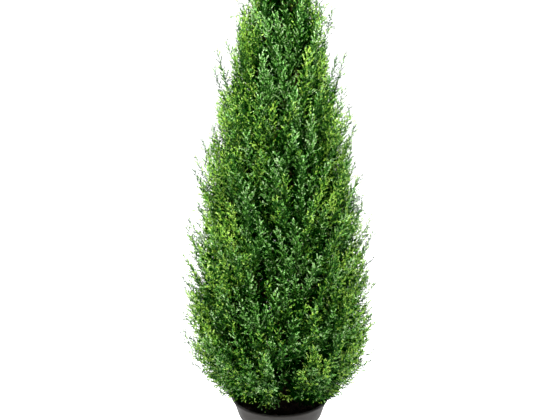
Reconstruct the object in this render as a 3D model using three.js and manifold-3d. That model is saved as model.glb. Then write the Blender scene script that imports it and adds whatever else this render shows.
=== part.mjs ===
// A young arborvitae with a dense, flame-shaped crown, growing in a round nursery pot.
// Millimetres, +Z up. The pot stands on Z = 0, centred on the Z axis, and -Y is the front.
import * as THREE from "three";
import { mergeVertices } from "three/addons/utils/BufferGeometryUtils.js";
import Module from "manifold-3d";

// Pot: one moulded shell with a rolled lip, a deep collar, a sloping shoulder and a tapering body.
const POT_HEIGHT = 200;
const POT_SIDES = 30;
const LIP_RADIUS = 120;
const LIP_DEPTH = 6;
const LIP_EDGE = 1.6;
const COLLAR_TOP_RADIUS = 116.5;
const COLLAR_FOOT_RADIUS = 103;
const COLLAR_DEPTH = 48;
const SHOULDER_DEPTH = 15;
const BODY_TOP_RADIUS = 94;
const BASE_RADIUS = 82;
const WALL = 2.4;
const DRAIN_COUNT = 6;
const DRAIN_RADIUS = 6;
const DRAIN_CIRCLE = 58;
const DRAIN_SIDES = 8;

// Soil: fills the pot to a little below the lip, level under the trunk and lower at the wall.
const SOIL_DROP = 27;
const SOIL_FALL = 5;
const SOIL_LEVEL_RADIUS = 40;
const SOIL_GAP = 0.5;

// Trunk: a single leader with a root flare, swept in from the right and then leaning back to it.
const TRUNK_TIP = 1165;
const TRUNK_FOOT_RADIUS = 11;
const TRUNK_TIP_RADIUS = 2.4;
const ROOT_FLARE = 6;
const ROOT_FLARE_HEIGHT = 14;
const TRUNK_START = -6;
const TRUNK_END = 4;
const TRUNK_BOW = 5;
const TRUNK_FOOT_OFFSET = 20;
const TRUNK_FOOT_SWEEP = 110;
const TRUNK_TAPER_POWER = 0.8;
const TRUNK_SIDES = 10;
const TRUNK_STEPS = 12;
const TRUNK_STEP_POWER = 1.6;

// Crown: its radius swells from the lip to the belly and then closes to a point.
const CROWN_TOP = 1345;
const BELLY_HEIGHT = 390;
const BELLY_RADIUS = 212;
const UNDERSIDE_DEPTH = 237;
const SHOULDER_POWER = 1.4;
const POINT_POWER = 0.76;

// Tiers: the crown is layered by cones that climb more steeply the higher they are.
const TIERS = 7;
const BOUGH_TIERS = 4;
const FIRST_LAYER_REACH = 400;
const LAST_LAYER_REACH = 1275;
const FIRST_LAYER_RISE = 35;
const LAST_LAYER_RISE = 74;
const FOLIAGE_FLOOR = POT_HEIGHT + 6;
const MOUTH_DIP = 22;
const MOUTH_EDGE = 106;
const MOUTH_SLOPE = 26;
const MASS_SPAN = 222;
const LEAST_MASSES = 3;
const FRONT_GAP = THREE.MathUtils.degToRad(-86);
const TIER_TURN = THREE.MathUtils.degToRad(137.5);

// Boughs: tapering limbs from the trunk to the inner side of the masses.
const BOUGH_SHARE = 0.32;
const BOUGH_FOOT_RADIUS = 5;
const BOUGH_TIP_RADIUS = 3.2;
const BOUGH_START = 0.3;
const BOUGH_SIDES = 5;
const BOUGH_STEPS = 2;
const LIMB_GAP = 0.3;

// Masses: a lumpy core round the stem, with toothed sprays that stand out of it.
const CORE_INNER_GAP = 5;
const CORE_SHARE = 0.88;
const CORE_WIDTH = 0.95;
const CORE_HEIGHT = 0.94;
const CORE_ROUNDING = 0.15;
const CORE_LUMPS = 0.12;
const CORE_SIDE_STEPS = 4;
const CORE_LEVEL_STEPS = 2;
const STEM_SHARE = 0.7;
const STEM_SIDES = 5;
const STEM_STEPS = 2;
const SPRAYS_PER_MASS = 8;
const LEAST_SPRAYS = 6;
const SPRAY_TRIES = 14;
const SPRAY_LEVEL_SPAN = 0.98;
const SPRAY_SIDE_SPAN = 0.9;
const SPRAY_SIDE_STRAY = 0.2;
const SPRAY_GATHER = 0.8;
const SPRAY_REACH = 1.05;
const SPRAY_RAGGED = 0.09;
const SPRAY_SINK = 0.66;
const SPRAY_DROP = 0.4;
const SPRAY_LOWEST = 0.14;
const SPRAY_WIDTH = 0.5;
const SPRAY_FOOT_WIDTH = 0.3;
const SPRAY_TOOTH_HEIGHT = 0.62;
const SPRAY_NOTCH_HEIGHT = 0.67;
const SPRAY_NOTCH_WIDTH = 0.46;
const SPRAY_THICKNESS = 0.2;
const SPRAY_TURN = 1.2;
const FIRST_TWIG = 0.56;
const LAST_TWIG = 0.94;
const TWIG_RADIUS = 2.6;
const TWIG_TAPER = 0.6;
const TWIG_SIDES = 3;
const TWIG_OVERLAP = 0.3;
const MASS_CLEARANCE = 2.5;

// Leader: the tuft that carries on from the trunk's tip.
const LEADER_CORE_START = 22;
const LEADER_CORE_TOP = 1300;
const LEADER_CORE_SHARE = 0.62;
const LEADER_CORE_SIDES = 7;
const LEADER_CORE_STEPS = 4;
const LEADER_STEM_RADIUS = 2.2;
const LEADER_STEM_TAPER = 0.7;
const LEADER_SPRAYS = 11;
const LEADER_SPRAY_START = 0.15;
const LEADER_FIRST_TWIG = 0.08;
const LEADER_LAST_TWIG = 0.7;
const LEADER_LOWEST_TIP = 0.45;
const LEADER_LEAST_SPREAD = 7;

const SOIL_TOP = POT_HEIGHT - SOIL_DROP;
const REACH_HALVINGS = 30;
const GOLDEN_TURN = Math.PI * (3 - Math.sqrt(5));
const GOLDEN_SHARE = (Math.sqrt(5) - 1) / 2;
const UP = new THREE.Vector3(0, 0, 1);

const wasm = await Module();
wasm.setup();

const taupePlastic = new THREE.MeshStandardMaterial({ color: 0x77706b, roughness: 0.6, metalness: 0 });
const pottingSoil = new THREE.MeshStandardMaterial({ color: 0x241a14, roughness: 0.95, metalness: 0 });
const bark = new THREE.MeshStandardMaterial({ color: 0x6a5238, roughness: 0.9, metalness: 0 });
const foliageColours = [0x2f5c20, 0x3f7426, 0x568a2c, 0x35662b];
const foliage = foliageColours.map(
  (color) => new THREE.MeshStandardMaterial({ color, roughness: 0.6, metalness: 0 }),
);

const plant = new THREE.Group();
plant.name = "potted_arborvitae";

function add(name, geometry, material) {
  const mesh = new THREE.Mesh(geometry, material);
  mesh.name = name;
  plant.add(mesh);
}

// Repeatable random numbers from 0 to 1.
function seeded(seed) {
  let state = seed >>> 0;
  return () => {
    state = (state + 0x6d2b79f5) >>> 0;
    let mixed = Math.imul(state ^ (state >>> 15), state | 1);
    mixed ^= mixed + Math.imul(mixed ^ (mixed >>> 7), mixed | 61);
    return ((mixed ^ (mixed >>> 14)) >>> 0) / 4294967296;
  };
}

// Solids for joining and cutting, and back again.
function solidOf(geometry) {
  geometry.deleteAttribute("normal");
  geometry.deleteAttribute("uv");
  const merged = mergeVertices(geometry, 1e-4);
  return new wasm.Manifold(
    new wasm.Mesh({
      numProp: 3,
      vertProperties: new Float32Array(merged.getAttribute("position").array),
      triVerts: new Uint32Array(merged.index.array),
    }),
  );
}

function geometryOf(solid) {
  const { vertProperties, triVerts } = solid.getMesh();
  return new THREE.BufferGeometry()
    .setAttribute("position", new THREE.BufferAttribute(vertProperties, 3))
    .setIndex(new THREE.BufferAttribute(triVerts, 1));
}

// The largest body of a solid: a scrap that a cut sets loose is dropped.
function wholePiece(solid) {
  return solid.decompose().reduce((best, body) => (body.volume() > best.volume() ? body : best));
}

function turned(profile) {
  const points = profile.map(([radius, height]) => new THREE.Vector2(radius, height));
  return new THREE.LatheGeometry(points, POT_SIDES).rotateX(Math.PI / 2);
}

// A tapering limb: a cylinder whose rings are carried along a line and set square to it.
function limb(lineAt, radiusAt, sides, steps, upright = false) {
  const geometry = new THREE.CylinderGeometry(1, 1, 1, sides, steps).rotateX(Math.PI / 2);
  const position = geometry.getAttribute("position");
  const point = new THREE.Vector3();
  const facing = new THREE.Quaternion();
  for (let i = 0; i < position.count; i++) {
    point.fromBufferAttribute(position, i);
    const share = point.z + 0.5;
    point.z = 0;
    point.multiplyScalar(radiusAt(share));
    if (!upright) {
      const heading = lineAt(share + 0.01).sub(lineAt(share - 0.01)).normalize();
      point.applyQuaternion(facing.setFromUnitVectors(UP, heading));
    }
    point.add(lineAt(share));
    position.setXYZ(i, point.x, point.y, point.z);
  }
  return geometry;
}

// Pot.
function potWall(inset) {
  return [
    [BODY_TOP_RADIUS - inset, POT_HEIGHT - COLLAR_DEPTH - SHOULDER_DEPTH],
    [COLLAR_FOOT_RADIUS - inset, POT_HEIGHT - COLLAR_DEPTH],
  ];
}

function potShell() {
  const outside = [
    [0, 0],
    [BASE_RADIUS, 0],
    ...potWall(0),
    [COLLAR_TOP_RADIUS, POT_HEIGHT - LIP_DEPTH],
    [LIP_RADIUS, POT_HEIGHT - LIP_DEPTH],
    [LIP_RADIUS, POT_HEIGHT - LIP_EDGE],
    [LIP_RADIUS - LIP_EDGE, POT_HEIGHT],
  ];
  const inside = [
    [0, WALL],
    [BASE_RADIUS - WALL, WALL],
    ...potWall(WALL),
    [COLLAR_TOP_RADIUS - WALL, POT_HEIGHT],
  ];
  let shell = solidOf(turned([...outside, ...inside.reverse()]));
  for (let i = 0; i < DRAIN_COUNT; i++) {
    const angle = (i / DRAIN_COUNT) * 2 * Math.PI;
    const drain = new THREE.CylinderGeometry(DRAIN_RADIUS, DRAIN_RADIUS, 3 * WALL, DRAIN_SIDES)
      .rotateX(Math.PI / 2)
      .translate(DRAIN_CIRCLE * Math.cos(angle), DRAIN_CIRCLE * Math.sin(angle), 0);
    shell = shell.subtract(solidOf(drain));
  }
  return geometryOf(shell);
}

// Soil.
function soilFill() {
  const edgeHeight = SOIL_TOP - SOIL_FALL;
  const climb = (edgeHeight - POT_HEIGHT + COLLAR_DEPTH) / COLLAR_DEPTH;
  const collarRadius = THREE.MathUtils.lerp(COLLAR_FOOT_RADIUS, COLLAR_TOP_RADIUS, climb);
  const inset = WALL + SOIL_GAP;
  return turned([
    [0, inset],
    [BASE_RADIUS - inset, inset],
    ...potWall(inset),
    [collarRadius - inset, edgeHeight],
    [SOIL_LEVEL_RADIUS, SOIL_TOP],
    [0, SOIL_TOP],
  ]);
}

// Trunk. Every height in the crown is measured round its leaning axis.
function trunkShare(height) {
  return THREE.MathUtils.clamp((height - SOIL_TOP) / (TRUNK_TIP - SOIL_TOP), 0, 1);
}

function axisAt(height) {
  const share = trunkShare(height);
  const sweep = Math.exp(Math.min(0, SOIL_TOP - height) / TRUNK_FOOT_SWEEP);
  const aside = THREE.MathUtils.lerp(TRUNK_START, TRUNK_END, share) + TRUNK_FOOT_OFFSET * sweep;
  return new THREE.Vector3(aside, TRUNK_BOW * Math.sin(Math.PI * share), height);
}

function trunkRadius(height) {
  const climb = trunkShare(height) ** TRUNK_TAPER_POWER;
  const taper = THREE.MathUtils.lerp(TRUNK_FOOT_RADIUS, TRUNK_TIP_RADIUS, climb);
  return taper + ROOT_FLARE * Math.exp((SOIL_TOP - height) / ROOT_FLARE_HEIGHT);
}

function trunkLimb(grownBy) {
  const foot = SOIL_TOP + LIMB_GAP;
  // Rings lie closer together in the root flare.
  const heightAt = (share) => foot + (TRUNK_TIP - foot) * share ** TRUNK_STEP_POWER;
  return limb(
    (share) => axisAt(heightAt(THREE.MathUtils.clamp(share, 0, 1))),
    (share) => trunkRadius(heightAt(share)) + grownBy,
    TRUNK_SIDES,
    TRUNK_STEPS,
    true,
  );
}

// Crown outline.
function crownRadius(height) {
  if (height < BELLY_HEIGHT) {
    const drop = (BELLY_HEIGHT - height) / UNDERSIDE_DEPTH;
    return BELLY_RADIUS * Math.sqrt(Math.max(0, 1 - drop ** 2));
  }
  const climb = Math.min(1, (height - BELLY_HEIGHT) / (CROWN_TOP - BELLY_HEIGHT));
  return BELLY_RADIUS * (1 - climb ** SHOULDER_POWER) ** POINT_POWER;
}

// Layer 0 is level, just over the lip, and dips into the pot's mouth. Each higher one is a cone
// that climbs away from the trunk.
function layerHeight(layer, radius) {
  if (layer === 0) {
    const overLip = THREE.MathUtils.smoothstep(radius, MOUTH_EDGE - MOUTH_SLOPE, MOUTH_EDGE);
    return FOLIAGE_FLOOR - MOUTH_DIP * (1 - overLip);
  }
  const share = (layer - 1) / (TIERS - 1);
  const reach = THREE.MathUtils.lerp(FIRST_LAYER_REACH, LAST_LAYER_REACH, share);
  const rise = THREE.MathUtils.lerp(FIRST_LAYER_RISE, LAST_LAYER_RISE, share);
  return reach + (radius - crownRadius(reach)) * Math.tan(THREE.MathUtils.degToRad(rise));
}

// The space of one mass: a tier and a sector. Places in it are a radius, a side from -1 to 1 and
// a level from 0, on the layer below, to 1, on the layer above.
function spaceOf(tier, index, count) {
  const half = Math.PI / count;
  const start = FRONT_GAP + tier * TIER_TURN;
  return { tier, half, middle: start + (2 * index + 1) * half };
}

function levelHeight(space, radius, level) {
  return THREE.MathUtils.lerp(
    layerHeight(space.tier, radius),
    layerHeight(space.tier + 1, radius),
    level,
  );
}

// The radius at which a level leaves the crown.
function reachOf(space, level) {
  let near = 0;
  let far = 2 * BELLY_RADIUS;
  for (let halving = 0; halving < REACH_HALVINGS; halving++) {
    const radius = (near + far) / 2;
    if (crownRadius(levelHeight(space, radius, level)) > radius) near = radius;
    else far = radius;
  }
  return near;
}

function placeIn(space, radius, side, level) {
  const height = levelHeight(space, radius, level);
  const angle = space.middle + side * space.half;
  return axisAt(height).add(new THREE.Vector3(Math.cos(angle), Math.sin(angle), 0).multiplyScalar(radius));
}

// Whether a point lies inside its space, clear of the neighbours and of the limbs within.
function keepsToSpace(space, point, innerRadius) {
  const out = point.clone().sub(axisAt(point.z));
  const radius = Math.hypot(out.x, out.y);
  if (radius < innerRadius) return false;
  const turn = Math.atan2(out.y, out.x) - space.middle;
  const aside = Math.abs(Math.atan2(Math.sin(turn), Math.cos(turn)));
  if (radius * Math.sin(space.half - aside) < MASS_CLEARANCE && space.half < Math.PI) return false;
  const floor = layerHeight(space.tier, radius) + MASS_CLEARANCE;
  const ceiling = layerHeight(space.tier + 1, radius) - 2 * MASS_CLEARANCE;
  return point.z > floor && point.z < ceiling;
}

// The line that a bough and then its mass's stem follow, from the trunk's axis outwards. It starts
// low in its tier and curves up into the middle of the mass.
function limbLine(space) {
  const reach = reachOf(space, 0.5);
  return (share) => {
    const radius = reach * STEM_SHARE * share;
    const boughShare = Math.min(1, radius / (BOUGH_SHARE * reach));
    const level = THREE.MathUtils.lerp(BOUGH_START, 0.5, Math.sin((Math.PI / 2) * boughShare));
    return placeIn(space, radius, 0, level);
  };
}

function limbRadius(space, share) {
  const size = BOUGH_TIP_RADIUS + (BOUGH_FOOT_RADIUS - BOUGH_TIP_RADIUS) * (1 - space.tier / TIERS);
  return THREE.MathUtils.lerp(size, TWIG_RADIUS, share);
}

function stretchOf(line, from, to) {
  return (share) => line(THREE.MathUtils.lerp(from, to, share));
}

// A spray: a toothed blade along +Z, thickest at its midrib, with its face towards Y.
function sprayBlade(length) {
  const half = (SPRAY_WIDTH * length) / 2;
  const side = [
    [SPRAY_FOOT_WIDTH * half, 0],
    [half, SPRAY_TOOTH_HEIGHT * length],
    [SPRAY_NOTCH_WIDTH * half, SPRAY_NOTCH_HEIGHT * length],
  ];
  const mirrored = side.map(([x, z]) => [-x, z]).reverse();
  const outline = [...side, [0, length], ...mirrored];
  const thickness = (SPRAY_THICKNESS * length) / 2;
  const places = outline.map(([x, z]) => [x, 0, z]);
  const front = places.length;
  const back = front + 1;
  places.push([0, -thickness, length / 2], [0, thickness, length / 2]);
  const faces = outline.flatMap((_, i) => {
    const next = (i + 1) % outline.length;
    return [front, i, next, back, next, i];
  });
  return new THREE.BufferGeometry()
    .setAttribute("position", new THREE.Float32BufferAttribute(places.flat(), 3))
    .setIndex(faces);
}

// A twig from the stem to a spray's foot, and the spray, or null where it would leave its space.
function twigWithSpray(space, root, foot, tip, faceTurn, innerRadius) {
  const length = tip.distanceTo(foot);
  const along = tip.clone().sub(foot).normalize();
  const outward = tip.clone().sub(axisAt(tip.z)).setZ(0).normalize();
  const across = new THREE.Vector3().crossVectors(UP, outward).applyAxisAngle(along, faceTurn);
  across.addScaledVector(along, -across.dot(along)).normalize();
  const face = new THREE.Vector3().crossVectors(along, across);
  const blade = sprayBlade(length).applyMatrix4(
    new THREE.Matrix4().makeBasis(across, face, along).setPosition(foot),
  );
  const corners = blade.getAttribute("position");
  for (let i = 0; i < corners.count; i++) {
    const corner = new THREE.Vector3().fromBufferAttribute(corners, i);
    if (!keepsToSpace(space, corner, innerRadius)) return null;
  }
  const twigEnd = foot.clone().lerp(tip, TWIG_OVERLAP);
  const twig = limb(
    (share) => root.clone().lerp(twigEnd, share),
    (share) => TWIG_RADIUS * (1 - TWIG_TAPER * share),
    TWIG_SIDES,
    1,
  );
  return solidOf(twig).add(solidOf(blade));
}

// The core: a block pressed into the shape of its space, with its corners rounded and lumpy.
function massCore(space, innerRadius, random) {
  const block = new THREE.BoxGeometry(2, 2, 2, 1, CORE_SIDE_STEPS, CORE_LEVEL_STEPS);
  block.deleteAttribute("normal");
  block.deleteAttribute("uv");
  const merged = mergeVertices(block);
  const position = merged.getAttribute("position");
  const corner = new THREE.Vector3();
  for (let i = 0; i < position.count; i++) {
    corner.fromBufferAttribute(position, i);
    corner.multiplyScalar(1 - (CORE_ROUNDING * (corner.lengthSq() - 1)) / 2);
    corner.multiplyScalar(1 - CORE_LUMPS * random());
    const level = 0.5 + 0.5 * CORE_HEIGHT * corner.z;
    const outer = CORE_SHARE * reachOf(space, level);
    const radius = THREE.MathUtils.lerp(innerRadius, outer, 0.5 + 0.5 * corner.x);
    const point = placeIn(space, radius, CORE_WIDTH * corner.y, level);
    position.setXYZ(i, point.x, point.y, point.z);
  }
  return merged;
}

function foliageMass(space, stemFrom, innerRadius, seed) {
  const random = seeded(seed);
  const line = limbLine(space);
  const stem = limb(
    stretchOf(line, stemFrom, 1),
    (share) => limbRadius(space, THREE.MathUtils.lerp(stemFrom, 1, share)) - LIMB_GAP,
    STEM_SIDES,
    STEM_STEPS,
  );
  let mass = solidOf(stem).add(solidOf(massCore(space, innerRadius, random)));
  const size = reachOf(space, 0.5) / BELLY_RADIUS;
  const count = Math.round(THREE.MathUtils.lerp(LEAST_SPRAYS, SPRAYS_PER_MASS, size));
  for (let i = 0; i < count; i++) {
    for (let attempt = 0; attempt < SPRAY_TRIES; attempt++) {
      const closer = 1 - attempt / SPRAY_TRIES;
      const level = 0.5 + SPRAY_LEVEL_SPAN * closer * ((i + random()) / count - 0.5);
      const spread = ((i * GOLDEN_SHARE + SPRAY_SIDE_STRAY * random()) % 1) * 2 - 1;
      const side = SPRAY_SIDE_SPAN * closer * spread;
      const ragged = SPRAY_REACH + SPRAY_RAGGED * (2 * random() - 1);
      const tip = placeIn(space, ragged * reachOf(space, level), side, level);
      const footLevel = Math.max(SPRAY_LOWEST, level - SPRAY_DROP);
      const footRadius = Math.max(innerRadius + TWIG_RADIUS, SPRAY_SINK * reachOf(space, footLevel));
      const foot = placeIn(space, footRadius, SPRAY_GATHER * side, footLevel);
      const root = line(THREE.MathUtils.lerp(FIRST_TWIG, LAST_TWIG, random()));
      const faceTurn = SPRAY_TURN * (2 * random() - 1);
      const spray = twigWithSpray(space, root, foot, tip, faceTurn, innerRadius);
      if (spray) {
        mass = mass.add(spray);
        break;
      }
    }
  }
  return mass;
}

// The leader tuft stands on the trunk's tip, inside the cone of the last layer.
function leaderTuft() {
  const random = seeded(TIERS);
  const space = { tier: TIERS, half: Math.PI, middle: 0 };
  const foot = axisAt(TRUNK_TIP).add(new THREE.Vector3(0, 0, LIMB_GAP));
  const rise = CROWN_TOP - foot.z;
  const stemLine = (share) => foot.clone().addScaledVector(UP, rise * share);
  const stem = limb(
    stemLine,
    (share) => LEADER_STEM_RADIUS * (1 - LEADER_STEM_TAPER * share),
    STEM_SIDES,
    STEM_STEPS,
    true,
  );
  const coneFoot = layerHeight(TIERS, 0);
  const coneSlope = layerHeight(TIERS, 1) - coneFoot;
  const coreFoot = coneFoot + LEADER_CORE_START;
  const coreHeight = (share) => THREE.MathUtils.lerp(coreFoot, LEADER_CORE_TOP, share);
  const core = limb(
    (share) => axisAt(coreHeight(share)),
    (share) => {
      const inCone = (coreHeight(share) - coneFoot) / coneSlope - MASS_CLEARANCE;
      return Math.min(inCone, LEADER_CORE_SHARE * crownRadius(coreHeight(share)));
    },
    LEADER_CORE_SIDES,
    LEADER_CORE_STEPS,
    true,
  );
  let tuft = solidOf(stem).add(solidOf(core));
  for (let i = 0; i < LEADER_SPRAYS; i++) {
    const share = (i + 0.5) / LEADER_SPRAYS;
    const root = stemLine(THREE.MathUtils.lerp(LEADER_FIRST_TWIG, LEADER_LAST_TWIG, share));
    const angle = i * GOLDEN_TURN;
    const tipHeight = THREE.MathUtils.lerp(foot.z + LEADER_LOWEST_TIP * rise, CROWN_TOP, share);
    const ragged = 1 + SPRAY_RAGGED * random();
    const radius = Math.max(LEADER_LEAST_SPREAD, crownRadius(tipHeight) * ragged);
    const tip = new THREE.Vector3(Math.cos(angle), Math.sin(angle), 0).multiplyScalar(radius);
    tip.add(axisAt(tipHeight));
    const sprayFoot = root.clone().lerp(tip, LEADER_SPRAY_START);
    const spray = twigWithSpray(space, root, sprayFoot, tip, SPRAY_TURN * (2 * random() - 1), 0);
    if (spray) tuft = tuft.add(spray);
  }
  return tuft;
}

// Assembly, from the ground up.
add("pot", potShell(), taupePlastic);
add("soil", soilFill(), pottingSoil);
add("trunk", trunkLimb(0), bark);
const trunkClearance = solidOf(trunkLimb(LIMB_GAP));

for (let tier = 0; tier < TIERS; tier++) {
  const reach = reachOf(spaceOf(tier, 0, 1), 0.5);
  const count = Math.max(LEAST_MASSES, Math.round((2 * Math.PI * reach) / MASS_SPAN));
  for (let index = 0; index < count; index++) {
    const label = `${tier + 1}_${index + 1}`;
    const space = spaceOf(tier, index, count);
    const line = limbLine(space);
    const hasBough = tier < BOUGH_TIERS;
    const boughEnd = hasBough ? BOUGH_SHARE / STEM_SHARE : 0;
    const lineLength = line(1).distanceTo(line(0));
    const stemFrom = boughEnd + (hasBough ? LIMB_GAP / lineLength : 0);
    if (hasBough) {
      const bough = limb(
        stretchOf(line, 0, boughEnd),
        (share) => limbRadius(space, boughEnd * share),
        BOUGH_SIDES,
        BOUGH_STEPS,
      );
      add(`bough_${label}`, geometryOf(wholePiece(solidOf(bough).subtract(trunkClearance))), bark);
    }
    const innerRadius = hasBough
      ? BOUGH_SHARE * reach + CORE_INNER_GAP
      : trunkRadius(layerHeight(tier, 0)) + CORE_INNER_GAP;
    const seed = 100 * (tier + 1) + index;
    const mass = foliageMass(space, stemFrom, innerRadius, seed).subtract(trunkClearance);
    add(`foliage_${label}`, geometryOf(wholePiece(mass)), foliage[(tier + index) % foliage.length]);
  }
}
add("foliage_top", geometryOf(wholePiece(leaderTuft())), foliage[2]);

export default plant;
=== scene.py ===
# A young arborvitae in a round nursery pot: pot, soil, trunk and boughs, twigs, leaves, then the studio.
# Metres, +Z up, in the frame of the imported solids. The pot stands on Z = 0 and -Y is the front.
import math
from collections import namedtuple

import bmesh
import bpy
import numpy as np
from mathutils import Matrix, Vector, noise


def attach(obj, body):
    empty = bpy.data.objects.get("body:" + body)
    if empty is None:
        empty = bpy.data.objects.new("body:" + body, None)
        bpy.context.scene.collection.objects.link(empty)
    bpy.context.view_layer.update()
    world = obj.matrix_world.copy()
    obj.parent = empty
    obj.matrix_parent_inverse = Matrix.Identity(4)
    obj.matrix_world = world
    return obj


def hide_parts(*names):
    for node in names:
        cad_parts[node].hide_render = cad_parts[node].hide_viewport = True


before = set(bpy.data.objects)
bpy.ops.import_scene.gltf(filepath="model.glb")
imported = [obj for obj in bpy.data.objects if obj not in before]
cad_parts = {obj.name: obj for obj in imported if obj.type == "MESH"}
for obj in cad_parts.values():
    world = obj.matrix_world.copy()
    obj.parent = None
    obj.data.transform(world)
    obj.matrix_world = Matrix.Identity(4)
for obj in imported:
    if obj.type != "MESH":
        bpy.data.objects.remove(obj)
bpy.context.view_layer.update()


# Pot: a thin nursery pot blown in two layers of plastic, taupe outside and black inside.
# It has a rolled lip, a deep collar over a sloping shoulder, a tapering body and six drain holes.
POT_HEIGHT = 0.200
LIP_RADIUS = 0.120
LIP_DEPTH = 0.006
LIP_EDGE = 0.0016
COLLAR_TOP_RADIUS = 0.1165
COLLAR_FOOT_RADIUS = 0.103
COLLAR_DEPTH = 0.048
SHOULDER_DEPTH = 0.015
BODY_TOP_RADIUS = 0.094
BASE_RADIUS = 0.082
BASE_RECESS = 0.0012
FOOT_RING_WIDTH = 0.008
POT_WALL = 0.0024
LAYER_GAP = 0.0001
POT_STEPS = 120
POT_EDGE_ROUNDING = 0.0007
POT_EDGE_STEPS = 3
POT_EDGE_ANGLE = 12
SEAM_WELD = 1e-6
DRAIN_COUNT = 6
DRAIN_RADIUS = 0.006
DRAIN_CIRCLE = 0.058
DRAIN_SIDES = 32
DRAIN_CUT_DEPTH = 6 * POT_WALL
TAUPE = (0.020, 0.0182, 0.0168)
TAUPE_DUSTY = (0.034, 0.031, 0.0285)
TAUPE_SCUFFED = (0.013, 0.0120, 0.0112)
POT_BLACK = (0.006, 0.006, 0.0065)
POT_BLACK_DUSTY = (0.030, 0.027, 0.024)
DUST_COVER = 0.55
DUST_ROUGHNESS = 0.16
STREAK_STOPS = ((0.55, 0), (0.80, 1))
STREAK_COVER = 0.5
STREAK_ROUGHNESS = 0.08
SCUFF_STOPS = ((0.58, 0), (0.72, 1))
SCUFF_COVER = 0.45
SCUFF_RELIEF = 0.4
MOULD_GRAIN = 900
MOULD_GRAIN_DEPTH = 0.0004
SOFT_STOPS = ((0.35, 0), (0.65, 1))
MIX_FACTOR = 0
MIX_FIRST_COLOUR = 6
MIX_SECOND_COLOUR = 7
MIX_COLOUR_RESULT = 2


class Wire:
    """The output of a shader node. Sums on wires add Math nodes, and node() adds any other node."""

    def __init__(self, tree, socket):
        self.tree = tree
        self.socket = socket

    def node(self, kind, settings, sockets, output=0):
        made = self.tree.nodes.new(kind)
        for name, value in settings.items():
            if name == "stops":
                Wire.set_stops(made.color_ramp, value)
            else:
                setattr(made, name, value)
        for name, value in sockets.items():
            if isinstance(value, Wire):
                self.tree.links.new(value.socket, made.inputs[name])
            else:
                made.inputs[name].default_value = value
        return Wire(self.tree, made.outputs[output])

    @staticmethod
    def set_stops(ramp, stops):
        for element, (place, shade) in zip(ramp.elements, stops):
            element.position = place
            element.color = (shade, shade, shade, 1)

    def sum(self, operation, first, second):
        return self.node("ShaderNodeMath", {"operation": operation}, {0: first, 1: second})

    def __add__(self, other):
        return self.sum("ADD", self, other)

    __radd__ = __add__

    def __sub__(self, other):
        return self.sum("SUBTRACT", self, other)

    def __rsub__(self, other):
        return self.sum("SUBTRACT", other, self)

    def __mul__(self, other):
        return self.sum("MULTIPLY", self, other)

    def feeds(self, shader, name):
        self.tree.links.new(self.socket, shader.inputs[name])


def new_finish(name, constants):
    """A material, its shader with the constant sockets set, and a wire of Object coordinates."""
    material = bpy.data.materials.new(name)
    material.use_nodes = True
    tree = material.node_tree
    shader = tree.nodes["Principled BSDF"]
    for socket, value in constants.items():
        shader.inputs[socket].default_value = value
    place = Wire(tree, tree.nodes.new("ShaderNodeTexCoord").outputs["Object"])
    return material, shader, place


def cloudy(place, scale, detail, roughness=0.55, stops=SOFT_STOPS):
    """Patches from 0 to 1, of a size set by scale, with stops that set their contrast."""
    patches = place.node("ShaderNodeTexNoise", {}, {
        "Vector": place, "Scale": scale, "Detail": detail, "Roughness": roughness})
    return patches.node("ShaderNodeValToRGB", {"stops": stops}, {"Fac": patches})


def stretched(place, across, along):
    """Object coordinates squeezed so that a pattern runs up and down."""
    return place.node("ShaderNodeMapping", {}, {"Vector": place, "Scale": (across, across, along)})


def blended(mask, first, second):
    """One colour where the mask is 0 and another where it is 1."""
    sockets = {MIX_FACTOR: mask}
    for place, colour in ((MIX_FIRST_COLOUR, first), (MIX_SECOND_COLOUR, second)):
        sockets[place] = colour if isinstance(colour, Wire) else (*colour, 1)
    return mask.node("ShaderNodeMix", {"data_type": "RGBA"}, sockets, output=MIX_COLOUR_RESULT)


def bumped(height, strength, depth):
    """The surface's direction over small bumps of a depth in metres."""
    return height.node("ShaderNodeBump", {}, {
        "Height": height, "Strength": strength, "Distance": depth})


def pot_finish(name, plain, dusty, scuffed, roughness, sheen):
    material, shader, place = new_finish(name, {"Specular IOR Level": sheen})
    dust = cloudy(stretched(place, across=26, along=9), scale=1, detail=5)
    streaks = cloudy(stretched(place, across=130, along=9), scale=1, detail=4, stops=STREAK_STOPS)
    scuffs = cloudy(place, scale=300, detail=6, roughness=0.7, stops=SCUFF_STOPS)
    colour = blended(dust * DUST_COVER, plain, dusty)
    colour = blended(streaks * STREAK_COVER, colour, dusty)
    colour = blended(scuffs * SCUFF_COVER, colour, scuffed)
    colour.feeds(shader, "Base Color")
    (roughness + dust * DUST_ROUGHNESS + streaks * STREAK_ROUGHNESS).feeds(shader, "Roughness")
    grain = place.node("ShaderNodeTexNoise", {}, {"Vector": place, "Scale": MOULD_GRAIN, "Detail": 3})
    bumped(grain + scuffs * SCUFF_RELIEF, strength=0.25, depth=MOULD_GRAIN_DEPTH).feeds(shader, "Normal")
    return material


def pot_wall(inset):
    """The foot and top of the sloping shoulder, as radii and heights, set in by part of the wall."""
    return [
        (BODY_TOP_RADIUS - inset, POT_HEIGHT - COLLAR_DEPTH - SHOULDER_DEPTH),
        (COLLAR_FOOT_RADIUS - inset, POT_HEIGHT - COLLAR_DEPTH),
    ]


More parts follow.
